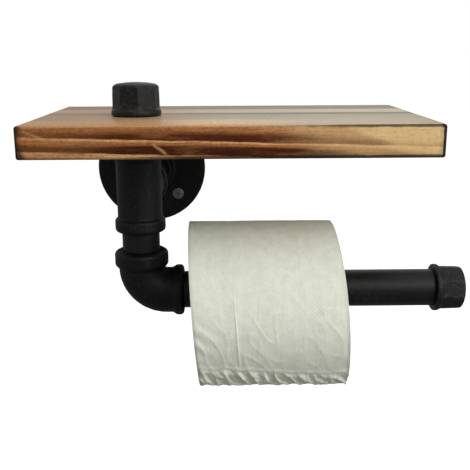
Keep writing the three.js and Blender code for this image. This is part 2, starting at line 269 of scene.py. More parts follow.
def pick(obj, wanted, kind="edges"):
    """Opens a mesh with only the edges or faces selected for which wanted(points) is true."""
    edit(obj, "EDGE" if kind == "edges" else "FACE")
    bpy.ops.mesh.select_all(action="DESELECT")
    bpy.ops.object.mode_set(mode="OBJECT")
    points = obj.data.vertices
    for element in getattr(obj.data, "polygons" if kind == "faces" else "edges"):
        element.select = bool(wanted([points[i].co for i in element.vertices]))
    bpy.ops.object.mode_set(mode="EDIT")


def named(name):
    obj = bpy.context.object
    obj.name = name
    obj.data.name = name
    return obj


def block(name, centre, size):
    """A block with these sides about this centre."""
    only()
    bpy.ops.mesh.primitive_cube_add(size=1, location=centre)
    obj = named(name)
    edit(obj)
    bpy.ops.transform.resize(value=size, center_override=centre)
    bpy.ops.object.mode_set(mode="OBJECT")
    return obj


def copied(first, name):
    """A copy of a piece, with its own mesh."""
    twin = first.copy()
    twin.data = first.data.copy()
    twin.name = twin.data.name = name
    bpy.context.scene.collection.objects.link(twin)
    return twin


def placed(obj, location=(0, 0, 0), turn=(0, 0, 0)):
    """Turns an object by these degrees, moves it, and puts both into its mesh."""
    only(obj)
    obj.rotation_euler = [math.radians(a) for a in turn]
    obj.location = Vector(obj.location) + Vector(location)
    bpy.ops.object.transform_apply(location=True, rotation=True, scale=True)
    return obj


def modify(obj, kind, **settings):
    """Adds a modifier to a piece, sets it and applies it."""
    only(obj)
    bpy.ops.object.modifier_add(type=kind)
    modifier = obj.modifiers[-1]
    for name, value in settings.items():
        setattr(modifier, name, value)
    bpy.ops.object.modifier_apply(modifier=modifier.name)
    return obj


def combine(obj, others, operation):
    """Joins other solids to a piece or cuts them out of it, and removes them."""
    for other in others:
        modify(obj, "BOOLEAN", operation=operation, object=other, solver="EXACT")
        bpy.data.objects.remove(other)
    return obj


def turned(name, outline, sides, tube=False):
    """A body turned about Z: a circle, then a ring extruded and resized for each (radius, height)."""
    radius, height = outline[0]
    only()
    bpy.ops.mesh.primitive_circle_add(vertices=sides, radius=radius, location=(0, 0, height))
    obj = named(name)
    edit(obj)
    points = [*outline, outline[0]] if tube else outline
    for (r0, h0), (r1, h1) in zip(points, points[1:]):
        bpy.ops.mesh.extrude_edges_move(TRANSFORM_OT_translate={"value": (0, 0, h1 - h0)})
        bpy.ops.transform.resize(value=(r1 / r0, r1 / r0, 1), center_override=(0, 0, h1))
    bpy.ops.mesh.select_all(action="SELECT")
    bpy.ops.mesh.remove_doubles(threshold=1e-6)
    if not tube:
        bpy.ops.mesh.fill_holes(sides=0)
    return placed(close(obj))


def arc(radius, height, bend, start, end, steps=5):
    """Points of an arc in an outline, about (radius, height), between two angles in degrees."""
    angles = [math.radians(start + (end - start) * i / steps) for i in range(steps + 1)]
    return [(radius + bend * math.cos(a), height + bend * math.sin(a)) for a in angles]


def band(radius, low, high, bend):
    """Outline of a band with rounded edges, from its lower edge to its upper edge."""
    return [
        *arc(radius - bend, low + bend, bend, -90, 0),
        *arc(radius - bend, high - bend, bend, 0, 90),
    ]


def rod(name, radius, low, high, sides=48):
    return turned(name, [(radius, low), (radius, high)], sides)


def shaped(obj, angle=30):
    """Shades a piece smooth, with creases where its faces meet at more than this angle."""
    only(obj)
    bpy.ops.object.shade_smooth_by_angle(angle=math.radians(angle))
    return obj


def moved(obj, place):
    """Moves each point of a mesh to place(point)."""
    for vertex in obj.data.vertices:
        vertex.co = place(vertex.co)
    obj.data.update()
    return obj


def cast(obj, voxel, skin, rounds=4):
    """Turns crisp joined solids into one casting: fillets where they meet, and an uneven skin."""
    modify(obj, "REMESH", mode="VOXEL", voxel_size=voxel, use_smooth_shade=True)
    modify(obj, "SMOOTH", factor=0.5, iterations=rounds)
    clouds = bpy.data.textures.new(obj.name + "_skin", "CLOUDS")
    clouds.noise_scale = 4 * MM
    clouds.noise_depth = 1
    modify(obj, "DISPLACE", texture=clouds, texture_coords="LOCAL", strength=skin, mid_level=0.75)
    bpy.data.textures.remove(clouds)
    return obj


def finished(obj, node, body, finish):
    """Gives a piece its material and its body, in place of its CAD node."""
    obj.data.materials.clear()
    obj.data.materials.append(finish.material)
    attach(obj, body)
    if node:
        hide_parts(node)
    return obj


# ---------- materials ----------

class Wire:
    """An output of a node, with arithmetic: each sign adds one Math node."""

    def __init__(self, finish, socket):
        self.finish = finish
        self.socket = socket

    def math(self, operation, *others):
        return self.finish.node("Math", {"operation": operation}, dict(enumerate((self, *others))))

    def __add__(self, other):
        return self.math("ADD", other)

    def __sub__(self, other):
        return self.math("SUBTRACT", other)

    def __rsub__(self, other):
        return self.finish.node("Math", {"operation": "SUBTRACT"}, {0: other, 1: self})

    def __mul__(self, other):
        return self.math("MULTIPLY", other)

    def __truediv__(self, other):
        return self.math("DIVIDE", other)

    def __pow__(self, other):
        return self.math("POWER", other)

    def __abs__(self):
        return self.math("ABSOLUTE")

    __radd__ = __add__
    __rmul__ = __mul__


class Finish:
    """A procedural material and the nodes that make it."""

    def __init__(self, name, **constants):
        self.material = bpy.data.materials.new(name)
        self.material.use_nodes = True
        self.tree = self.material.node_tree
        self.shader = self.tree.nodes["Principled BSDF"]
        for key, value in constants.items():
            self.shader.inputs[key.replace("_", " ").title().replace("Ior", "IOR")].default_value = value

    def node(self, kind, settings=None, sockets=None, output=0):
        """Adds a node: its settings first, then the values or wires of its sockets."""
        made = self.tree.nodes.new("ShaderNode" + kind)
        for key, value in (settings or {}).items():
            if key == "stops":
                self.stops(made.color_ramp, value)
            else:
                setattr(made, key, value)
        for key, value in (sockets or {}).items():
            self.feed(made.inputs[key], value)
        return Wire(self, made.outputs[output])

    def stops(self, ramp, stops):
        """Sets a colour ramp's stops, each (position, colour)."""
        while len(ramp.elements) < len(stops):
            ramp.elements.new(1.0)
        for element, (position, shade) in zip(ramp.elements, stops):
            element.position = position
            element.color = (*shade, 1)

    def feed(self, socket, value):
        """Links a wire to a socket, or sets the socket's own value."""
        if isinstance(value, Wire):
            self.tree.links.new(value.socket, socket)
        elif socket.type == "RGBA" and len(value) == 3:
            socket.default_value = (*value, 1)
        else:
            socket.default_value = value

    def set(self, name, value):
        self.feed(self.shader.inputs[name], value)

    def place(self):
        """Where a point lies in the holder, in millimetres."""
        spot = self.node("TexCoord", output="Object")
        return self.node("VectorMath", {"operation": "SCALE"}, {0: spot, "Scale": 1 / MM})

    def split(self, vector):
        """The x, y and z of a vector."""
        parts = self.node("SeparateXYZ", sockets={0: vector})
        return [Wire(self, parts.socket.node.outputs[i]) for i in range(3)]

    def noise(self, place, scale, detail=2, rough=0.5):
        """Noise from 0 to 1. Its scale is in cells per millimetre, along each axis if three are given."""
        if not isinstance(scale, (int, float)):
            place = self.node("VectorMath", {"operation": "MULTIPLY"}, {0: place, 1: scale})
            scale = 1
        sockets = {"Vector": place, "Scale": scale, "Detail": detail, "Roughness": rough}
        return self.node("TexNoise", sockets=sockets)

    def step(self, value, low, high, start=0, end=1):
        """Goes smoothly from start to end as value goes from low to high."""
        settings = {"interpolation_type": "SMOOTHSTEP"}
        return self.node("MapRange", settings, {0: value, 1: low, 2: high, 3: start, 4: end})

    def between(self, value, low, high, soft):
        """1 where value lies between low and high, with soft edges."""
        return self.step(value, low - soft, low + soft) * self.step(value, high - soft, high + soft, 1, 0)

    def mix(self, first, second, factor, way="MIX"):
        """A colour between two others, or the first one changed by the second in another way."""
        settings = {"data_type": "RGBA", "blend_type": way}
        return self.node("Mix", settings, {0: factor, 6: first, 7: second}, 2)

    def ramp(self, value, low, high, stops):
        """A colour that depends on value: stops are (value, colour) between low and high."""
        wide = high - low
        scaled = [((v - low) / wide, shade) for v, shade in stops]
        return self.node("ValToRGB", {"stops": scaled}, {0: (value - low) / wide})

    def bump(self, height, deep):
        """Raises the surface by up to deep millimetres where height is 1."""
        sockets = {"Height": height, "Distance": deep * MM, "Strength": 1.0}
        self.set("Normal", self.node("Bump", sockets=sockets))


def tint(shade, much):
    """A colour made lighter or darker."""
    return [min(1, c * much) for c in shade]


def blend(first, second, share):
    """A colour between two others."""
    return [a + (b - a) * share for a, b in zip(first, second)]


def painted_iron(name, base, thin, pits=1.0, gloss=0.5):
    """Black paint over a sandy casting, thinner on its high spots."""
    finish = Finish(name, metallic=0.0, specular_ior_level=0.22)
    place = finish.place()
    sand = finish.noise(place, 0.75, 3, 0.65)
    lumps = finish.noise(place, 0.16, 2)
    thinned = finish.step(sand * 0.75 + lumps * 0.35, 0.54, 0.76) * 0.6
    finish.set("Base Color", finish.mix(base, thin, thinned))
    finish.set("Roughness", gloss + (lumps - 0.5) * 0.16 + (sand - 0.5) * 0.2)
    finish.bump(sand * 0.75 + finish.noise(place, 2.6, 1) * 0.3, 0.3 * pits)
    return finish


def lacquered_pipe(name, base, thin, axis):
    """Black lacquer on drawn pipe, with faint marks along it."""
    finish = Finish(name, metallic=0.0, specular_ior_level=0.22)
    place = finish.place()
    along = [0.9, 0.9, 0.9]
    along[axis] = 0.035
    drawn = finish.noise(place, along, 3, 0.6)
    mottle = finish.noise(place, 0.35, 3, 0.6)
    grain = finish.noise(place, 1.1, 2)
    thinned = finish.step(drawn * 0.5 + mottle * 0.6, 0.5, 0.78) * 0.45
    finish.set("Base Color", finish.mix(base, thin, thinned))
    finish.set("Roughness", 0.42 + (mottle - 0.5) * 0.25 + (drawn - 0.5) * 0.15)
    finish.bump(drawn * 0.45 + grain * 0.5 + mottle * 0.3, 0.2)
    return finish


def screw_black(name, base):
    """Thin blackening on steel, mottled by handling."""
    finish = Finish(name, metallic=0.85)
    place = finish.place()
    mottle = finish.noise(place, 1.6, 3)
    finish.set("Base Color", finish.mix(base, tint(base, 2.6), finish.step(mottle, 0.45, 0.75)))
    finish.set("Roughness", 0.36 + (mottle - 0.5) * 0.3)
    finish.bump(mottle, 0.03)
    return finish


def nylon(name, base):
    """Plain moulded nylon."""
    finish = Finish(name, metallic=0.0, subsurface_weight=0.0)
    place = finish.place()
    cloud = finish.noise(place, 0.4, 2)
    finish.set("Base Color", finish.mix(base, tint(base, 0.82), cloud))
    finish.set("Roughness", 0.44 + (cloud - 0.5) * 0.2)
    finish.bump(finish.noise(place, 2.5, 2), 0.03)
    return finish


class ScorchedPine(Finish):
    """Pine torched along its growth rings and edges, under thin clear varnish."""

    span = (-3, 22)                 # the growth rings are numbered in millimetres, down from the front edge
    figures = (                     # light lines across the front: start, depth, run, fall, half thickness
        (-60, 3.4, 11, 0.36, 0.5),
        (17.4, 11, 8, 0.74, 0.9),
    )

    def __init__(self, look, low, high):
        super().__init__("scorched_pine", coat_roughness=0.22, specular_ior_level=0.1)
        self.look = look
        self.spot = self.place()
        self.x, y, z = self.split(self.spot)
        self.from_front = y - low.y / MM
        self.from_top = high.z / MM - z
        self.sway = self.noise(self.spot, (0.011, 0.03, 0.03), 2) - 0.5
        self.fray = self.noise(self.spot, (0.06, 1.1, 1.1), 3, 0.65) - 0.5
        sides, arris = self.edges(low, high, (self.x, y, z))
        is_top = self.step(self.from_top, 0.2, 1.1, 1, 0)
        wood = self.mix(self.ring_colours(), self.top_colours(), is_top)
        wood = self.with_figures(wood)
        grain = self.noise(self.spot, (0.04, 1.7, 1.7), 3, 0.7)
        speck = self.noise(self.spot, (0.5, 0.8, 0.8), 3, 0.7)
        dark = self.step(grain * 0.55 + speck * 0.55, 0.45, 0.7)
        wood = self.mix(wood, (0.46, 0.32, 0.22), dark * self.step(self.x, 60, 160, 0.72, 0.34), "MULTIPLY")
        wood = self.with_end_grain(wood, sides[0])
        wood, burnt = self.with_burnt_edges(wood, sides, arris)
        self.set("Base Color", wood)
        self.set("Roughness", 0.56 + (grain - 0.5) * 0.25)
        self.set("Coat Weight", is_top * (1 - burnt) * (0.4 + (speck - 0.5) * 0.3))
        pore = self.noise(self.spot, (0.25, 3.0, 3.0), 2)
        self.bump(grain * 0.4 + pore * 0.15 + speck * 0.15 - burnt * 0.3, 0.16)

    def edges(self, low, high, parts):
        """How far a point is from the nearer side along each axis, and from the nearest edge."""
        reach = [
            (part - low[axis] / MM).math("MINIMUM", high[axis] / MM - part)
            for axis, part in enumerate(parts)
        ]
        largest = reach[0].math("MAXIMUM", reach[1]).math("MAXIMUM", reach[2])
        return reach, reach[0] + reach[1] + reach[2] - largest

    def ring(self):
        """Which growth ring a point lies in. Rings widen where the flame was hottest."""
        ring = self.from_top - self.look.tilt * self.from_front - 0.0283 * (self.x + 35)
        ring = ring + self.sway * 1.6 + self.fray * 1.7
        hot = self.between(self.x, -2, 128, 30)
        wide = self.between(ring, 0.5, 5.6, 1.6) + self.between(ring, 8.6, 14, 1.8)
        return ring + hot * wide * 2.1

    def ring_colours(self):
        """The growth rings on the board's sides: charred where the flame went, pale where it didn't."""
        char, brown, honey, tan = self.look.char, self.look.brown, self.look.honey, self.look.tan
        ring = self.ring()
        torched = self.ramp(ring, *self.span, [
            (-3, brown), (1.6, tint(brown, 0.9)), (4.4, blend(brown, char, 0.75)), (5.6, char),
            (6.9, char), (7.4, blend(honey, brown, 0.3)), (8.2, honey), (9.3, brown),
            (11.2, tint(brown, 0.8)), (12.8, char), (15.7, tint(char, 0.6)), (16.3, honey),
            (18.4, tint(honey, 0.95)), (20, brown),
        ])
        clear = self.ramp(ring, *self.span, [
            (-3, tan), (3.5, tan), (6.6, blend(tan, brown, 0.45)), (7.4, tint(tan, 1.1)), (9.5, tan),
            (14.0, tint(tan, 0.9)), (15.8, blend(tan, brown, 0.4)), (16.4, tint(tan, 1.08)),
            (20, tint(tan, 0.85)),
        ])
        flame = self.noise(self.spot, (0.025, 0.09, 0.09), 3, 0.55)
        reach = self.x + (flame - 0.5) * 50 - (ring - 7) * 2.2
        torch = self.step(reach, 80, 136, 0.5, 0) + self.step(reach, 158, 172, 0.5, 0)
        patch = self.noise(self.spot, (0.03, 0.22, 0.22), 3, 0.6)
        torched = self.mix(torched, tint(brown, 0.7), self.step(patch, 0.46, 0.7) * 0.5)
        torched = self.mix(torched, brown, self.step(self.x, -45, 5, 0.28, 0))
        return self.mix(clear, torched, torch)

    def top_colours(self):
        """The long bands of the board's top, browner at its left and front."""
        tan, grey, brown = self.look.tan, self.look.grey, self.look.brown
        sway = self.noise(self.spot, (0.006, 0.05, 0.05), 2) - 0.5
        across = self.from_front + sway * 10
        bands = self.ramp(across, 0, 160, [
            (0, blend(tan, brown, 0.4)), (14, tan), (33, blend(tan, grey, 0.5)), (41, tint(grey, 0.74)),
            (73, tint(grey, 0.7)), (80, tint(grey, 0.36)), (87, tint(grey, 0.36)), (92, tint(grey, 1.08)),
            (119, tint(grey, 1.15)), (125, tint(grey, 0.5)), (160, tint(grey, 0.44)),
        ])
        bare = self.step(across, 45, 30) * self.step(self.x, 50, 130) * 0.85
        bands = self.mix(bands, (0.42, 0.35, 0.245), bare)
        streak = self.noise(self.spot, (0.008, 0.3, 0.3), 3, 0.6)
        bands = self.mix(bands, tint(brown, 0.9), self.step(streak, 0.47, 0.72) * 0.5)
        warm = self.step(self.x + (streak - 0.5) * 80 + self.from_front * 0.15, -10, 90, 0.5, 0)
        return self.mix(bands, brown, warm)

    def with_figures(self, wood):
        """Adds the light figures that slant across the grain of the front."""
        for start, depth, run, fall, thick in self.figures:
            line = self.from_top - depth - fall * (self.x - start) + self.fray * 1.6
            figure = self.between(line, -thick, thick, 1.1) * self.between(self.x, start, start + run, 1.5)
            figure = figure * self.step(self.from_front, 2, 5, 1, 0)
            wood = self.mix(wood, self.look.honey, figure * (0.25 + 0.45 * thick))
        return wood

    def with_end_grain(self, wood, from_end):
        """Adds the bowed year lines on the board's two ends."""
        bow = (self.from_front - 60) * (self.from_front - 60) * 0.004
        year = ((self.from_top + bow + self.sway * 9 + self.fray * 1.2) * 1.7).math("SINE")
        line = self.step(from_end, 0.2, 0.8, 0.5, 0) * self.step(year, -0.2, 0.9)
        return self.mix(wood, tint(self.look.brown, 0.7), line)

    def with_burnt_edges(self, wood, sides, arris):
        """Chars the edges: the upright ones, the lower right ones and the upper ones at the right."""
        char = (0.014, 0.011, 0.008)
        lick = self.noise(self.spot, 0.12, 3, 0.6) - 0.5
        upright = self.step(sides[0] + lick * 3, 1.2, 3.2, 1, 0)
        lower = self.step(self.x, -12, 40, 0.35, 1) * self.step(self.from_top, 10, 20)
        upper = self.step(self.x, 70, 150, 0.1, 1) * self.step(self.from_top, 20, 10)
        far = arris + lick * 1.4 - 1.2 * lower - 0.5 * upright - 0.5 * upper
        burnt = self.step(far, 0.5, 1.6, 1, 0)
        wood = self.mix(wood, char, burnt * (upright * 0.9 + lower * 0.9 + upper * 0.9) * 0.95)
        corner = sides[0] + sides[1] + lick * 4 - abs(self.from_top - 9) * 0.25
        smudge = self.step(corner, 0.8, 4.6, 0.85, 0) * self.step(self.x, 80, 140, 1, 0.3)
        return self.mix(wood, char, smudge), burnt


def core_card(base, centre):
    """Grey-brown card wound in a spiral, one turn for each strip's width along the core."""
    strip = 46
    finish = Finish("core_card", metallic=0.0, specular_ior_level=0.25)
    place = finish.place()
    x, y, z = finish.split(place)
    turn = (z - centre.z / MM).math("ARCTAN2", y - centre.y / MM)
    seam = (x / strip + turn / (2 * math.pi)).math("FRACT")
    line = finish.between(seam, 0.47, 0.53, 0.012)
    fibre = finish.noise(place, (0.8, 0.8, 0.8), 3, 0.65)
    fleck = finish.step(finish.noise(place, 2.6, 1), 0.62, 0.72)
    shade = finish.mix(base, tint(base, 1.25), fibre)
    shade = finish.mix(shade, tint(base, 0.5), fleck * 0.4 + line * 0.4)
    finish.set("Base Color", shade)
    finish.set("Roughness", 0.86 + (fibre - 0.5) * 0.12)
    finish.bump(fibre * 0.5 - line * 0.8, 0.12)
    return finish


class Tissue(Finish):
    """Soft creped paper: faint streaks round the roll, pressed marks with a painted highlight along the
    pressed line, painted shade at its two rims, and thin layers at its ends.
    """

    columns = ((60, 66), (118, 127))        # where the pressed dots run round the roll, in millimetres
    fold = (67.6, 68.5)                     # where the pressed line runs round its front; a highlight is painted along it

    def __init__(self, base, centre, slant, ends):
        super().__init__("tissue", metallic=0.0, specular_ior_level=0.1)
        place = self.place()
        x, y, z = self.split(place)
        back = y - centre.y / MM
        above = z - centre.z / MM
        flat = x + above * math.tan(slant)
        streak = self.noise(place, (0.5, 0.02, 0.02), 3, 0.6)
        fibre = self.noise(place, 1.5, 3, 0.7)
        cloud = self.noise(place, 0.16, 3, 0.6)
        outward = (above * above + back ** 2) ** 0.5
        layer = self.noise(self.node("CombineXYZ", sockets={0: outward}), 1.7, 2, 0.7)
        pressed = self.line(flat, y, above)
        dots = self.dots(flat, above.math("ARCTAN2", back))
        shade = self.mix(base, tint(base, 0.88), self.step(streak, 0.4, 0.75) * 0.3 + dots * 0.25)
        shade = self.mix(shade, tint(base, 0.78), self.step(layer, 0.45, 0.7) * 0.35)
        cloudy = self.step(cloud * 0.6 + fibre * 0.5, 0.46, 0.66) * 0.6
        shade = self.mix(shade, (0.86, 0.87, 0.8), cloudy, "MULTIPLY")
        # painted highlight: the paper is lightened along the pressed line, as if its ridge caught the light
        shade = self.mix(shade, (0.93, 0.94, 0.88), pressed * 0.4)
        # painted shade: the roll's two rims are darkened, more towards the bottom of the roll
        rim = self.rims(flat, fibre, ends) * self.step(above, 30, -20, 0.3, 0.85) * 0.85
        self.set("Base Color", self.mix(shade, tint(base, 0.4), rim))
        self.set("Roughness", 0.92 + (cloud - 0.5) * 0.08)
        relief = streak * 0.4 + fibre * 0.45 + cloud * 0.8 + layer * 0.5
        self.bump(relief + pressed * 0.6 - dots * 0.3, 0.36)

    def line(self, flat, y, above):
        """1 along the pressed line, which shows only on the front of the roll: where a highlight is painted
        along the fold's ridge.
        """
        line = self.between(flat, *self.fold, 0.5) * self.step(y, -150, -154)
        return line * self.between(above, -27, 24, 6)

    def dots(self, flat, turn):
        """1 on each of the small pressed dots."""
        columns = sum(self.between(flat, left, right, 0.8) for left, right in self.columns)
        dots = (flat * 2.6).math("SINE") * (turn * 132).math("SINE")
        return self.step(dots, 0.1, 0.7) * columns

    def rims(self, flat, fibre, ends):
        """1 along the roll's two rims, which painted shade makes darker than the rest."""
        first, last = (end / MM for end in ends)
        rim = self.step(flat + (fibre - 0.5) * 2, first + 0.8, first + 3.0, 1, 0)
        return rim + self.step(flat + (fibre - 0.5) * 3, last - 3.2, last - 0.6) * 0.7


# ---------- pieces ----------

def settings(name):
    return getattr(bpy.context.scene, name)


def middle(node):
    low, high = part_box(node)
    return (low + high) / 2


def pipe_radius():
    low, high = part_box("arm_pipe")
    return (high.z - low.z) / 2


def tapped_radius():
    return pipe_radius() - settings("pipe_sizes").thread_low + GAP


def tapping(mouth, floor=None):
    """The cutter for a threaded mouth at this height, with a groove for each turn of the thread."""
    sizes = settings("pipe_sizes")
    radius = tapped_radius()
    low = mouth - sizes.thread_in - 2 * GAP
    start = low if floor is None else floor
    turns = int((mouth - sizes.chamfer - low) / sizes.pitch)
    outline = [(radius, start)] if start < low else []
    for i in range(turns):
        height = low + i * sizes.pitch
        outline += [(radius, height), (radius + 0.7 * sizes.thread_deep, height + sizes.pitch / 2)]
    outline += [
        (radius, mouth - sizes.chamfer),
        (radius + sizes.chamfer, mouth),
        (radius + sizes.chamfer, mouth + 4 * MM),
    ]
    return turned("tapping", outline, sizes.sides)


def threads(low, high, crest):
    """Outline of a threaded end from low to high: a crest and a root for each turn."""
    sizes = settings("pipe_sizes")
    turns = int((high - low) / sizes.pitch)
    step = (high - low) / turns
    root = crest - sizes.thread_deep
    points = []
    for i in range(turns):
        points += [(crest, low + (i + 0.28) * step), (root, low + (i + 0.78) * step)]
    return points


def pipe_profile(long):
    """Outline of a pipe: a threaded end, its plain outside, the other threaded end and its bore."""
    sizes = settings("pipe_sizes")
    radius = pipe_radius()
    bore = radius - sizes.wall
    crest = radius - sizes.thread_low
    end = sizes.thread_in
    ease = 0.35 * MM
    nose = crest - 1.3 * MM
    thread = threads(0.6 * MM, end - 0.4 * MM, crest)
    return [
        (bore + ease, 0),
        (nose, 0),
        *thread,
        (crest, end - 0.2 * MM),
        (crest, end),
        (radius - ease, end),
        (radius, end + ease),
        (radius, long / 2),
        (radius, long - end - ease),
        (radius - ease, long - end),
        (crest, long - end),
        *[(r, long - h) for r, h in reversed(thread)],
        (nose, long),
        (bore + ease, long),
        (bore, long - ease),
        (bore, ease),
    ]


def pipe(name, node, turn, axis):
    """A length of pipe where its CAD node is, with a threaded end inside each fitting."""
    look = settings("iron_finish")
    low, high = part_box(node)
    start = middle(node)
    start[axis] = high[axis] if turn == OUTWARD else low[axis]
    outline = pipe_profile((high - low)[axis])
    obj = turned(name, outline, settings("pipe_sizes").sides, tube=True)
    finish = lacquered_pipe("black_pipe_" + name, look.pipe, look.worn, axis)
    body = "arm" if node == "arm_pipe" else "frame"
    return finished(shaped(placed(obj, start, turn)), node, body, finish)


class BuildFlange(Operator):
    """Casts the round wall flange, with its threaded hub and four countersunk holes"""

    bl_idname = "holder.flange"
    bl_label = "Wall flange"

    def execute(self, context):
        sizes = settings("casting_sizes")
        look = settings("iron_finish")
        low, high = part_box("wall_flange")
        plate_radius = (high.x - low.x) / 2
        top = high.y - low.y
        hub = tapped_radius() + sizes.hub_wall
        rim = sizes.rim_round
        foot = 0.6 * MM                 # rounding of the rim against the wall
        blank = turned("iron_flange", [
            (MIDDLE, 0),
            *arc(plate_radius - foot, foot, foot, -90, 0, 3),
            *arc(plate_radius - rim, sizes.plate - rim, rim, 0, 90),
            *arc(hub + sizes.hub_fillet, sizes.plate + sizes.hub_fillet, sizes.hub_fillet, 270, 180),
            *arc(hub - rim, top - rim, rim, 0, 90),
            (MIDDLE, top),
        ], ROUND)
        cast(blank, sizes.voxel * 1.15, sizes.skin, 2)
        combine(blank, [tapping(top, -1 * MM)], "DIFFERENCE")
        placed(blank, middle("wall_flange") * Vector((1, 0, 1)), OUTWARD)
        combine(blank, [countersink(i + 1) for i in range(SCREWS)], "DIFFERENCE")
        finish = painted_iron("flange_paint", look.iron, look.worn)
        finished(shaped(blank, 40), "wall_flange", "frame", finish)
        return {"FINISHED"}


def countersink(number):
    """The cutter for one countersunk screw hole in the flange."""
    sizes = settings("fixing_sizes")
    face = settings("casting_sizes").plate
    head = sizes.head / 2 + GAP
    rim = head + 0.9 * MM
    shank = sizes.shank / 2 + 2 * GAP
    head_top = face - sizes.sink
    outline = [
        (shank, -2 * MM),
        (shank, head_top - sizes.head_high),
        (head, head_top),
        (rim, face + 0.3 * MM),
        (rim, 4 * face),
    ]
    spot = middle(f"wall_screw_{number}")
    return placed(turned("countersink", outline, 40), (spot.x, 0, spot.z), OUTWARD)


class BuildScrews(Operator):
    """Models one countersunk cross-head screw and copies it to the four holes"""

    bl_idname = "holder.screws"
    bl_label = "Wall screws"

    def execute(self, context):
        sizes = settings("fixing_sizes")
        face = settings("casting_sizes").plate
        head_top = face - sizes.sink
        first = turned("first_screw", self.profile(sizes, face - sizes.long, head_top), 28)
        combine(first, [self.recess(head_top, turn) for turn in (0, 90)], "DIFFERENCE")
        shaped(first)
        finish = screw_black("blackened_screw", settings("iron_finish").screw)
        for number in range(1, SCREWS + 1):
            spot = middle(f"wall_screw_{number}")
            stopped_at = 18 + 31 * number       # each screw was driven to its own angle
            screw = placed(copied(first, f"screw_{number}"), turn=(0, 0, stopped_at))
            placed(screw, (spot.x, 0, spot.z), OUTWARD)
            finished(screw, f"wall_screw_{number}", "frame", finish)
        bpy.data.objects.remove(first)
        return {"FINISHED"}

    def profile(self, sizes, tip, head_top):
        """Outline of a screw from its tip, along its thread, to the middle of its head."""
        point = 5 * MM
        neck = head_top - sizes.head_high
        crest = sizes.shank / 2
        root = 0.68 * crest
        turns = int((neck - 2 * MM - tip - point) / sizes.pitch)
        outline = [(0.15 * MM, tip), (0.7 * root, tip + 2.6 * MM), (root, tip + point)]
        for i in range(turns):
            height = tip + point + i * sizes.pitch
            outline += [(root, height + 0.5 * MM), (crest, height + 0.95 * MM), (root, height + 1.3 * MM)]
        rim = 0.35 * MM
        return outline + [
            (crest * 0.96, neck - 1 * MM),
            (crest * 0.96, neck),
            (sizes.head / 2 - 0.1 * MM, head_top - rim),
            *arc(sizes.head / 2 - rim, head_top - rim, rim, 0, 90, 3),
            (0.4 * MM, head_top),
        ]

    def recess(self, head_top, turn):
        """One arm of the cross recess, narrower at its bottom."""
        centre = (0, 0, head_top)
        slot = block("recess", centre, (settings("fixing_sizes").recess, 1.1 * MM, 3.4 * MM))
        pick(slot, lambda points: all(p.z < 0 for p in points), "faces")
        bpy.ops.transform.resize(value=(0.35, 0.6, 1), center_override=centre)
        bpy.ops.object.mode_set(mode="OBJECT")
        return placed(placed(slot), turn=(0, 0, turn))


class BuildPlugs(Operator):
    """Models one ribbed and split nylon wall plug and copies it round the four screws"""

    bl_idname = "holder.plugs"
    bl_label = "Wall plugs"
    rings = 7

    def execute(self, context):
        sizes = settings("fixing_sizes")
        low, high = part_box("wall_plug_1")
        long = high.y - low.y
        collar = (high.x - low.x) / 2
        bore = sizes.shank / 2 + GAP
        step = (long - 6 * MM) / self.rings
        valley = collar - 2 * sizes.barb
        outline = [(bore, 0), (collar, 0), (collar, 1.2 * MM), (valley, 1.6 * MM)]
        for i in range(self.rings):
            height = 1.6 * MM + i * step
            outline += [(valley, height + 0.5 * MM), (collar, height + 1.1 * MM)]
            outline += [(collar - sizes.barb, height + 0.8 * step)]
        hole = 0.3 * MM
        outline += [(valley, long - 3 * MM), (bore * 0.6, long), (hole, long)]
        outline += [(hole, long - 2 * MM), (bore, long - 2 * MM)]
        first = turned("first_plug", outline, 40, tube=True)
        combine(first, [self.split_cutter(long, collar)], "DIFFERENCE")
        shaped(first)
        finish = nylon("nylon_plug", settings("iron_finish").nylon)
        for number in range(1, SCREWS + 1):
            node = f"wall_plug_{number}"
            centre = middle(node)
            start = (centre.x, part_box(node)[0].y, centre.z)
            plug = placed(copied(first, f"plug_{number}"), start, INWARD)
            finished(plug, node, "frame", finish)
        bpy.data.objects.remove(first)
        return {"FINISHED"}

    def split_cutter(self, long, collar):
        """A thin slot across the plug, from near its tip to near its collar."""
        return placed(block("slot", (0, 0, 0.55 * long), (2.6 * collar, 1.1 * MM, 0.62 * long)))


class BuildPipes(Operator):
    """Turns the four lengths of pipe with their threaded ends"""

    bl_idname = "holder.pipes"
    bl_label = "Pipes"

    def execute(self, context):
        pipe("wall_pipe", "wall_nipple", OUTWARD, 1)
        pipe("shelf_pipe", "shelf_nipple", (0, 0, 0), 2)
        pipe("lower_pipe", "lower_nipple", (0, 0, 0), 2)
        pipe("arm_tube", "arm_pipe", ALONG_ARM, 0)
        return {"FINISHED"}


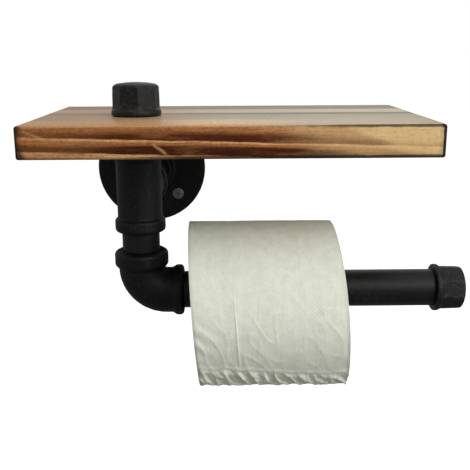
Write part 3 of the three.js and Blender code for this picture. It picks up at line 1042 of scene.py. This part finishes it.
class BuildTee(Operator):
    """Casts the tee: a beaded run down the upright and a beaded branch to the wall"""

    bl_idname = "holder.tee"
    bl_label = "Tee"

    def execute(self, context):
        sizes = settings("casting_sizes")
        look = settings("iron_finish")
        low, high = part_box("tee")
        half = (high.z - low.z) / 2
        radius = tapped_radius() + sizes.tee_wall
        bead = radius + sizes.tee_rise
        edge = half - sizes.tee_bead
        mouth = [(radius, edge), *band(bead, edge, half, sizes.bead_round), (MIDDLE, half)]
        body = turned("iron_tee", [
            (MIDDLE, -half),
            *band(bead, -half, -edge, sizes.bead_round),
            (radius, -edge),
            *mouth,
        ], ROUND)
        branch = turned("branch", [(MIDDLE, 0), (radius, 0), *mouth], ROUND)
        combine(body, [placed(branch, turn=INWARD)], "UNION")
        cast(body, sizes.voxel, sizes.skin)
        combine(body, self.cutters(half), "DIFFERENCE")
        placed(body, Vector((0, low.y + bead, (low.z + high.z) / 2)))
        finish = painted_iron("tee_paint", look.iron, look.worn)
        finished(shaped(body, 40), "tee", "frame", finish)
        return {"FINISHED"}

    def cutters(self, half):
        """What cuts the tee's three threaded mouths and the ways between them."""
        bore = pipe_radius() - settings("pipe_sizes").wall
        return [
            tapping(half),
            placed(tapping(half), turn=(180, 0, 0)),
            placed(tapping(half), turn=INWARD),
            rod("bore", bore, -half, half),
            placed(rod("bore", bore, 0, half), turn=INWARD),
        ]


class BuildElbow(Operator):
    """Casts the elbow that carries the arm: a bent body with a bead round each mouth"""

    bl_idname = "holder.elbow"
    bl_label = "Elbow"

    def execute(self, context):
        sizes = settings("casting_sizes")
        look = settings("iron_finish")
        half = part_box("elbow")[1].x
        radius = tapped_radius() + sizes.elbow_wall
        body = self.bent("iron_elbow", radius, half - sizes.bead_round)
        beads = [
            self.bead(half, radius + sizes.inlet_rise, sizes.inlet_bead),
            placed(self.bead(half, radius + sizes.outlet_rise, sizes.outlet_bead), turn=ALONG_ARM),
        ]
        combine(body, beads, "UNION")
        cast(body, sizes.voxel, sizes.skin)
        bore = pipe_radius() - settings("pipe_sizes").wall
        reach = half - settings("pipe_sizes").thread_in / 2
        cutters = [
            tapping(half),
            placed(tapping(half), turn=ALONG_ARM),
            self.bent("bore", bore, reach),
        ]
        combine(body, cutters, "DIFFERENCE")
        placed(body, (0, middle("arm_pipe").y, middle("arm_pipe").z))
        finish = painted_iron("elbow_paint", look.iron, look.worn)
        finished(shaped(body, 40), "elbow", "arm", finish)
        return {"FINISHED"}

    def bead(self, half, radius, wide):
        """A blank for one of the beads, its lower edge sloped down to the body."""
        sizes = settings("casting_sizes")
        bend = sizes.bead_round
        foot = half - wide - 1.2 * MM
        body = tapped_radius() + sizes.elbow_wall
        return turned("bead", [
            (MIDDLE, foot),
            (body, foot),
            *arc(radius - bend, half - wide + bend, bend, -45, 0),
            *arc(radius - bend, half - bend, bend, 0, 90),
            (MIDDLE, half),
        ], ROUND)

    def bent(self, name, radius, reach):
        """A bar that comes down to the elbow's centre, goes round the bend and runs out along +X."""
        sizes = settings("casting_sizes")
        bend = tapped_radius() + sizes.elbow_wall + sizes.crotch
        only()
        bpy.ops.mesh.primitive_circle_add(vertices=72, radius=radius, location=(0, 0, reach))
        bar = named(name)
        edit(bar)
        bpy.ops.mesh.extrude_edges_move(TRANSFORM_OT_translate={"value": (0, 0, bend - reach)})
        centre = (bend, 0, bend)
        bpy.ops.mesh.spin(steps=20, angle=math.pi / 2, center=centre, axis=(0, 1, 0))
        bpy.ops.mesh.extrude_edges_move(TRANSFORM_OT_translate={"value": (reach - bend, 0, 0)})
        bpy.ops.mesh.select_all(action="SELECT")
        bpy.ops.mesh.fill_holes(sides=0)
        return placed(close(bar))


class BuildCaps(Operator):
    """Casts the two octagonal caps, on the shelf pipe and at the end of the arm"""

    bl_idname = "holder.caps"
    bl_label = "Caps"

    def execute(self, context):
        sizes = settings("casting_sizes")
        look = settings("iron_finish")
        finish = painted_iron("cap_paint", look.cap, tint(look.worn, 1.8), 1.4, 0.4)
        low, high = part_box("top_cap")
        top = self.cap("upper_cap", high.z - low.z, math.degrees(sizes.top_turn))
        placed(top, (0, middle("shelf_nipple").y, low.z))
        finished(top, "top_cap", "frame", finish)
        low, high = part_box("end_cap")
        end = self.cap("arm_cap", high.x - low.x, math.degrees(sizes.end_turn))
        placed(end, (low.x, middle("arm_pipe").y, middle("arm_pipe").z), ALONG_ARM)
        finished(end, "end_cap", "arm", finish)
        return {"FINISHED"}

    def cap(self, name, high, turn):
        """A cap with its mouth at 0 and its closed end up."""
        sizes = settings("casting_sizes")
        corner = (tapped_radius() + sizes.cap_wall) / math.cos(math.pi / 8)
        body = turned(name, [(corner, GAP), (corner - sizes.cap_taper, high)], 8)
        pick(body, lambda ends: abs(ends[0].z - ends[1].z) > 4 * MM)
        bpy.ops.mesh.bevel(offset=sizes.cap_corner, segments=4, profile=0.5)
        bpy.ops.object.mode_set(mode="OBJECT")
        placed(close(body), turn=(0, 0, turn))
        combine(body, [self.crown(corner, high, sizes.cap_round)], "INTERSECT")
        combine(body, [self.bead(tapped_radius() + sizes.cap_bead_wall, sizes.cap_bead)], "UNION")
        cast(body, 0.85 * sizes.voxel, 1.2 * sizes.skin, 2)
        combine(body, [placed(tapping(0), turn=(180, 0, 0))], "DIFFERENCE")
        return shaped(body, 40)

    def crown(self, corner, high, bend):
        """The round form that a cap's octagon keeps inside: it eases the closed end's corners."""
        return turned("crown", [
            (corner + MM, -MM),
            (corner + 0.3 * MM, high - bend - MM),
            *arc(corner + 0.1 * MM - bend, high - bend - 0.9 * MM, bend, 0, 75, 7),
            (0.45 * corner, high - 0.3 * MM),
            (0.2 * corner, high - 0.08 * MM),
            (0.1 * MM, high),
        ], ROUND)

    def bead(self, radius, wide):
        """A blank for the bead round a cap's mouth, rounder on its upper side."""
        lower = MM
        upper = 2.6 * MM
        widest = 2.4 * MM
        return turned("bead", [
            (MIDDLE, 0),
            *arc(radius - lower, lower, lower, -90, 0, 3),
            (radius, widest),
            *arc(radius - upper, widest, upper, 20, 70, 4),
            (radius - 2.3 * MM, wide),
            (MIDDLE, wide),
        ], ROUND)


class BuildBoard(Operator):
    """Planes the pine shelf board, eases its edges and bores it for the shelf pipe"""

    bl_idname = "holder.board"
    bl_label = "Shelf board"

    def execute(self, context):
        look = settings("board_finish")
        low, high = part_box("shelf_board")
        board = block("pine_board", (low + high) / 2, high - low)
        edit(board, "EDGE")
        bpy.ops.mesh.bevel(offset=look.edge, segments=4, profile=0.5)
        bpy.ops.object.mode_set(mode="OBJECT")
        placed(close(board))
        pipe_centre = middle("shelf_nipple")
        hole = pipe_radius() + 0.6 * MM
        rim = look.hole_rim
        outline = [
            (hole + rim + MM, low.z - MM), (hole + rim, low.z), (hole, low.z + rim),
            (hole, high.z - rim), (hole + rim, high.z), (hole + rim + MM, high.z + MM),
        ]
        drill = placed(turned("drill", outline, ROUND), (pipe_centre.x, pipe_centre.y, 0))
        combine(board, [drill], "DIFFERENCE")
        finish = ScorchedPine(look, low, high)
        finished(shaped(close(board)), "shelf_board", "frame", finish)
        return {"FINISHED"}


def slanted(point, centre, slant, tilt):
    """How far along the arm a roll's point lies once its ends lean. Those near the core stay square."""
    out = math.hypot(point.y - centre.y, point.z - centre.z)
    square = 26 * MM
    free = min(max((out - square) / (18 * MM), 0), 1)
    lean = (centre.z - point.z) * math.tan(slant)
    pushed_in = (point.y - centre.y + out) * math.tan(tilt) * smooth(point.x - centre.x, 0, 50 * MM)
    return point.x + free * (lean - pushed_in)


class BuildCore(Operator):
    """Winds the card core that hangs on the arm"""

    bl_idname = "holder.core"
    bl_label = "Card core"

    def execute(self, context):
        low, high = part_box("roll_core")
        long = high.x - low.x
        outer = (high.z - low.z) / 2
        card = 1.2 * MM
        inner = outer - card
        ease = 0.3 * MM
        outline = [
            (inner + ease, 0), (outer - ease, 0), (outer, ease),
            (outer, long / 2), (outer, long - ease), (outer - ease, long),
            (inner + ease, long), (inner, long - ease), (inner, long / 2),
            (inner, ease),
        ]
        centre = middle("roll_core")
        core = turned("card_core", outline, ROUND, tube=True)
        placed(core, (low.x, centre.y, centre.z), ALONG_ARM)
        finish = core_card(settings("roll_shape").card, centre)
        finished(shaped(core), "roll_core", "core", finish)
        return {"FINISHED"}


class BuildRoll(Operator):
    """Winds the paper roll, leans it, and lays its loose crumpled sheet over the front"""

    bl_idname = "holder.roll"
    bl_label = "Paper roll"
    around = 224                    # sides of the roll
    rings = 40                      # wound layers that show at each end
    rim = 0.8 * MM                  # rounding of the roll's two rims
    sheet_from = 104                # where the loose sheet starts, in degrees over the top from the front
    sheet_to = -79                  # and where it ends, below the front
    fold_place = 68 * MM            # where the sheet was once folded, along the arm

    def execute(self, context):
        shape = settings("roll_shape")
        low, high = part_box("roll_paper")
        centre = middle("roll_paper")
        core_low, core_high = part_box("roll_core")
        inner = (core_high.z - core_low.z) / 2 + GAP
        outline = self.profile(inner, high.x - low.x, shape)
        roll = turned("paper_roll", outline, self.around, tube=True)
        placed(roll, (low.x, centre.y, centre.z), ALONG_ARM)
        moved(roll, lambda point: self.wound(point, centre, shape))
        finish = Tissue(shape.paper, centre, shape.slant, (low.x, high.x))
        finished(shaped(close(roll), 50), "roll_paper", "roll", finish)
        finished(self.sheet(low, high, centre, shape), None, "roll", finish)
        return {"FINISHED"}

    def profile(self, inner, long, shape):
        """Outline of the roll: the layers of one end, the outside, the other end, and the inside."""
        rings = self.rings
        rim = self.rim
        steps = 64
        wide = shape.radius - rim - inner
        radii = [inner + wide * i / rings for i in range(rings + 1)]
        face = [(r, self.layer(r, i, 3)) for i, r in enumerate(radii)]
        back = [(r, long - self.layer(r, i, 7)) for i, r in enumerate(radii)]
        outside = [(shape.radius, rim + (long - 2 * rim) * i / steps) for i in range(steps + 1)]
        inside = [(inner, long * i / 6) for i in range(5, 0, -1)]
        return [*face, *outside, *reversed(back), *inside]

    def layer(self, radius, i, seed):
        """How far in from the end of the roll this layer lies."""
        shape = settings("roll_shape")
        fine = noise.noise(Vector((radius / (0.9 * MM), seed, 0)))
        slow = noise.noise(Vector((radius / (7 * MM), seed, 5)))
        return max(0, shape.layers * (1.2 + (i % 2) * 0.9 + fine + 1.6 * slow))

    def wound(self, point, centre, shape):
        """The roll's own dents and lean."""
        y = point.y - centre.y
        z = point.z - centre.z
        out = math.hypot(y, z)
        slack = min(max((out - 30 * MM) / (29 * MM), 0), 1)
        spot = Vector((point.x / (34 * MM), y / (30 * MM), z / (30 * MM)))
        dent = noise.noise(spot) * shape.dent + 0.35 * shape.dent * noise.noise(3.1 * spot)
        grow = 1 - slack * max(0, dent) / out
        lean = slanted(point, centre, shape.slant, shape.tilt)
        return Vector((lean, centre.y + y * grow, centre.z + z * grow))

    def sheet(self, low, high, centre, shape):
        """The roll's loose outer sheet, from above its middle round the front to its crumpled end."""
        only()
        bpy.ops.mesh.primitive_grid_add(x_subdivisions=180, y_subdivisions=210, size=1)
        sheet = named("loose_sheet")
        moved(sheet, lambda flat: self.wrapped(flat.x + 0.5, flat.y + 0.5, low, high, centre, shape))
        close(sheet)
        modify(sheet, "SOLIDIFY", thickness=0.22 * MM, offset=-1)
        return placed(shaped(close(sheet), 60))

    def wrapped(self, across, down, low, high, centre, shape):
        """Where a point of the flat sheet lies. across runs along the arm, down from the top edge."""
        start = math.radians(self.sheet_from)
        end = math.radians(self.sheet_to)
        x = low.x + 0.4 * MM + across * (high.x - low.x - 0.5 * MM)
        waver = math.radians(1.4) * math.sin(5 * across + 1) * down ** 4
        angle = start + (end - start) * down + waver
        turn = math.degrees(angle)
        lift = shape.loose * smooth(down, 0, 0.6) + 0.5 * MM * (smooth(down, 0, 0.1) - 0.7)
        soft = noise.noise(Vector((x / (22 * MM), angle * 3.2, 4)))
        lift += 0.35 * shape.dent * (soft + 0.6)
        lift += self.ridge(x, turn) + self.puckers(x - low.x, turn) + self.crumples(x, turn, shape)
        lift += self.rumples(x, turn)
        radius = shape.radius + lift
        point = Vector((x, centre.y - radius * math.cos(angle), centre.z + radius * math.sin(angle)))
        point.x = slanted(point, centre, shape.slant, shape.tilt)
        return point

    def ridge(self, x, turn):
        """A low straight ridge round the front, where the sheet was once folded."""
        across = (x - self.fold_place) / (0.9 * MM)
        return 0.32 * MM * math.exp(-across * across) * smooth(turn, -30, -22) * smooth(16 - turn, 0, 10)

    def rumples(self, x, turn):
        """Shallow slanting wrinkles all over the sheet, deeper towards its end."""
        spot = Vector((x / (12 * MM) + turn / 20, x / (30 * MM) - turn / 30, 6))
        fold = max(0, 1 - abs(noise.noise(spot)) * 2.8) ** 2
        return 0.34 * MM * fold * (0.25 + 0.75 * smooth(45 - turn, 0, 60))

    def puckers(self, inward, turn):
        """Short slanting puckers near the edge beside the elbow."""
        near = math.exp(-(inward / (13 * MM)) ** 2) * math.exp(-((turn + 6) / 14) ** 2)
        wave = math.sin(turn * 0.55 + inward / (2.6 * MM))
        return 0.4 * MM * near * wave

    def crumples(self, x, turn, shape):
        """A fold across the sheet, and sharp slanting creases below it."""
        fold = -32 + 3 * math.sin(x / (26 * MM)) + 1.5 * noise.noise(Vector((x / (9 * MM), 1, 2)))
        below = smooth(fold - turn, 0, 5) * (1 - 0.95 * smooth(-51 - turn, 0, 13))
        edge = 0.55 * MM * math.exp(-((turn - fold) / 1.6) ** 2)
        across = x / (8.5 * MM) + turn / 19
        along = x / (34 * MM) - turn / 26
        crease = 1 - abs(noise.noise(Vector((across, along, 3)))) * 2.6
        small = 1 - abs(noise.noise(Vector((2.3 * across, 1.8 * along, 8)))) * 2.4
        return edge + below * shape.crumple * (max(0, crease) ** 1.6 + 0.35 * max(0, small) ** 1.6)


def smooth(value, low, high):
    """0 below low, 1 above high and a smooth step between them."""
    share = min(max((value - low) / (high - low), 0), 1)
    return share * share * (3 - 2 * share)


# ---------- stage ----------

AIM = (0.06, -0.1, 0)
LIGHTS = (                          # name, its power and the share it takes, width, height, place, aim
    ("front_light", "key", 1, 0.8, 0.8, (0.85, -1.05, 0.66), (0.06, -0.1, -0.04)),
    ("top_light", "top", 1, 1.0, 1.0, (0.1, -0.35, 1.3), AIM),
    ("right_light", "side", 3.2, 0.5, 0.9, (1.2, -0.9, 0.2), AIM),
    ("left_light", "side", 0.5, 0.5, 0.9, (-1.1, -0.9, 0.3), AIM),
    ("back_light", "side", 1.6, 0.9, 0.9, (0.3, 1.6, 0.9), AIM),
)


class BuildStage(Operator):
    """Lays the pale floor and sets the soft lights and the camera"""

    bl_idname = "holder.stage"
    bl_label = "Stage"

    def execute(self, context):
        look = settings("stage_look")
        self.floor(look)
        self.world(context.scene, look)
        for name, power, share, *rest in LIGHTS:
            self.light(name, share * getattr(look, power), *rest)
        self.camera(context.scene, look)
        context.scene.view_settings.view_transform = "Standard"
        return {"FINISHED"}

    def floor(self, look):
        """A pale floor well under the holder, which doesn't light it."""
        only()
        bpy.ops.mesh.primitive_plane_add(size=14, location=(0, 0, -0.55))
        floor = named("floor")
        finish = Finish("pale_floor", specular_ior_level=0.1)
        cloud = finish.noise(finish.place(), 0.002, 2)
        finish.set("Base Color", finish.mix(look.floor, tint(look.floor, 0.97), cloud))
        finish.set("Roughness", 0.9)
        finish.set("Emission Color", (1, 1, 1))
        finish.set("Emission Strength", look.glow)
        floor.data.materials.append(finish.material)
        floor.visible_diffuse = False
        floor.visible_glossy = False

    def world(self, scene, look):
        """A pale surround: white where the camera sees it, and dimmer as a light, most so from below."""
        scene.world = bpy.data.worlds.new("surround")
        scene.world.use_nodes = True
        tree = scene.world.node_tree
        seen = tree.nodes.new("ShaderNodeLightPath")
        toward = tree.nodes.new("ShaderNodeTexCoord")
        parts = tree.nodes.new("ShaderNodeSeparateXYZ")
        air = tree.nodes.new("ShaderNodeMapRange")
        strength = tree.nodes.new("ShaderNodeMapRange")
        tree.links.new(toward.outputs["Generated"], parts.inputs[0])
        tree.links.new(parts.outputs["Z"], air.inputs["Value"])
        limits = {"From Min": -0.5, "From Max": 0.3, "To Min": look.below, "To Max": look.air}
        for name, value in limits.items():
            air.inputs[name].default_value = value
        strength.inputs["To Max"].default_value = 1.0
        tree.links.new(seen.outputs["Is Camera Ray"], strength.inputs["Value"])
        tree.links.new(air.outputs[0], strength.inputs["To Min"])
        tree.links.new(strength.outputs[0], tree.nodes["Background"].inputs["Strength"])
        tree.nodes["Background"].inputs["Color"].default_value = (1, 1, 1, 1)

    def light(self, name, power, wide, high, spot, target):
        """A soft rectangular light at a spot, pointed at its target."""
        bpy.ops.object.light_add(type="AREA", location=spot)
        lamp = bpy.context.object
        lamp.name = name
        lamp.data.shape = "RECTANGLE"
        lamp.data.size = wide
        lamp.data.size_y = high
        lamp.data.energy = power
        aim = Vector(target) - Vector(spot)
        lamp.rotation_euler = aim.to_track_quat("-Z", "Y").to_euler()

    def camera(self, scene, look):
        """The camera, turned aside, then down, then tilted about its own axis."""
        ahead = Vector((
            math.sin(look.aside) * math.cos(look.down),
            math.cos(look.aside) * math.cos(look.down),
            -math.sin(look.down),
        ))
        level = Vector((math.cos(look.aside), -math.sin(look.aside), 0))
        above = level.cross(ahead)
        right = level * math.cos(look.tilt) - above * math.sin(look.tilt)
        up = right.cross(ahead)
        turn = Matrix((right, up, -ahead)).transposed()
        bpy.ops.object.camera_add(location=look.place, rotation=turn.to_euler())
        scene.camera = bpy.context.object
        scene.camera.data.lens = look.lens
        scene.camera.data.sensor_width = 36
        scene.camera.data.clip_start = 0.01


OPERATORS = (
    BuildFlange,
    BuildScrews,
    BuildPlugs,
    BuildPipes,
    BuildTee,
    BuildElbow,
    BuildCaps,
    BuildBoard,
    BuildCore,
    BuildRoll,
    BuildStage,
)


class HolderPanel(Panel):
    """Lists what builds each piece, with the sizes and colours that it reads"""

    bl_idname = "VIEW3D_PT_holder"
    bl_label = "Paper holder"
    bl_space_type = "VIEW_3D"
    bl_region_type = "UI"
    bl_category = "Holder"

    def draw(self, context):
        for operator in OPERATORS:
            self.layout.operator(operator.bl_idname)
        for name, group in GROUPS.items():
            box = self.layout.box()
            box.label(text=name.replace("_", " ").capitalize())
            for field in group.__annotations__:
                box.prop(getattr(context.scene, name), field)


def register():
    for group in GROUPS.values():
        bpy.utils.register_class(group)
    for operator in (*OPERATORS, HolderPanel):
        bpy.utils.register_class(operator)
    for name, group in GROUPS.items():
        setattr(bpy.types.Scene, name, PointerProperty(type=group))


def unregister():
    for name in GROUPS:
        delattr(bpy.types.Scene, name)
    for operator in (*OPERATORS, HolderPanel, *GROUPS.values()):
        bpy.utils.unregister_class(operator)


def main():
    register()
    for operator in OPERATORS:
        group, name = operator.bl_idname.split(".")
        getattr(getattr(bpy.ops, group), name)()
    bpy.context.view_layer.update()


if __name__ == "__main__":
    main()
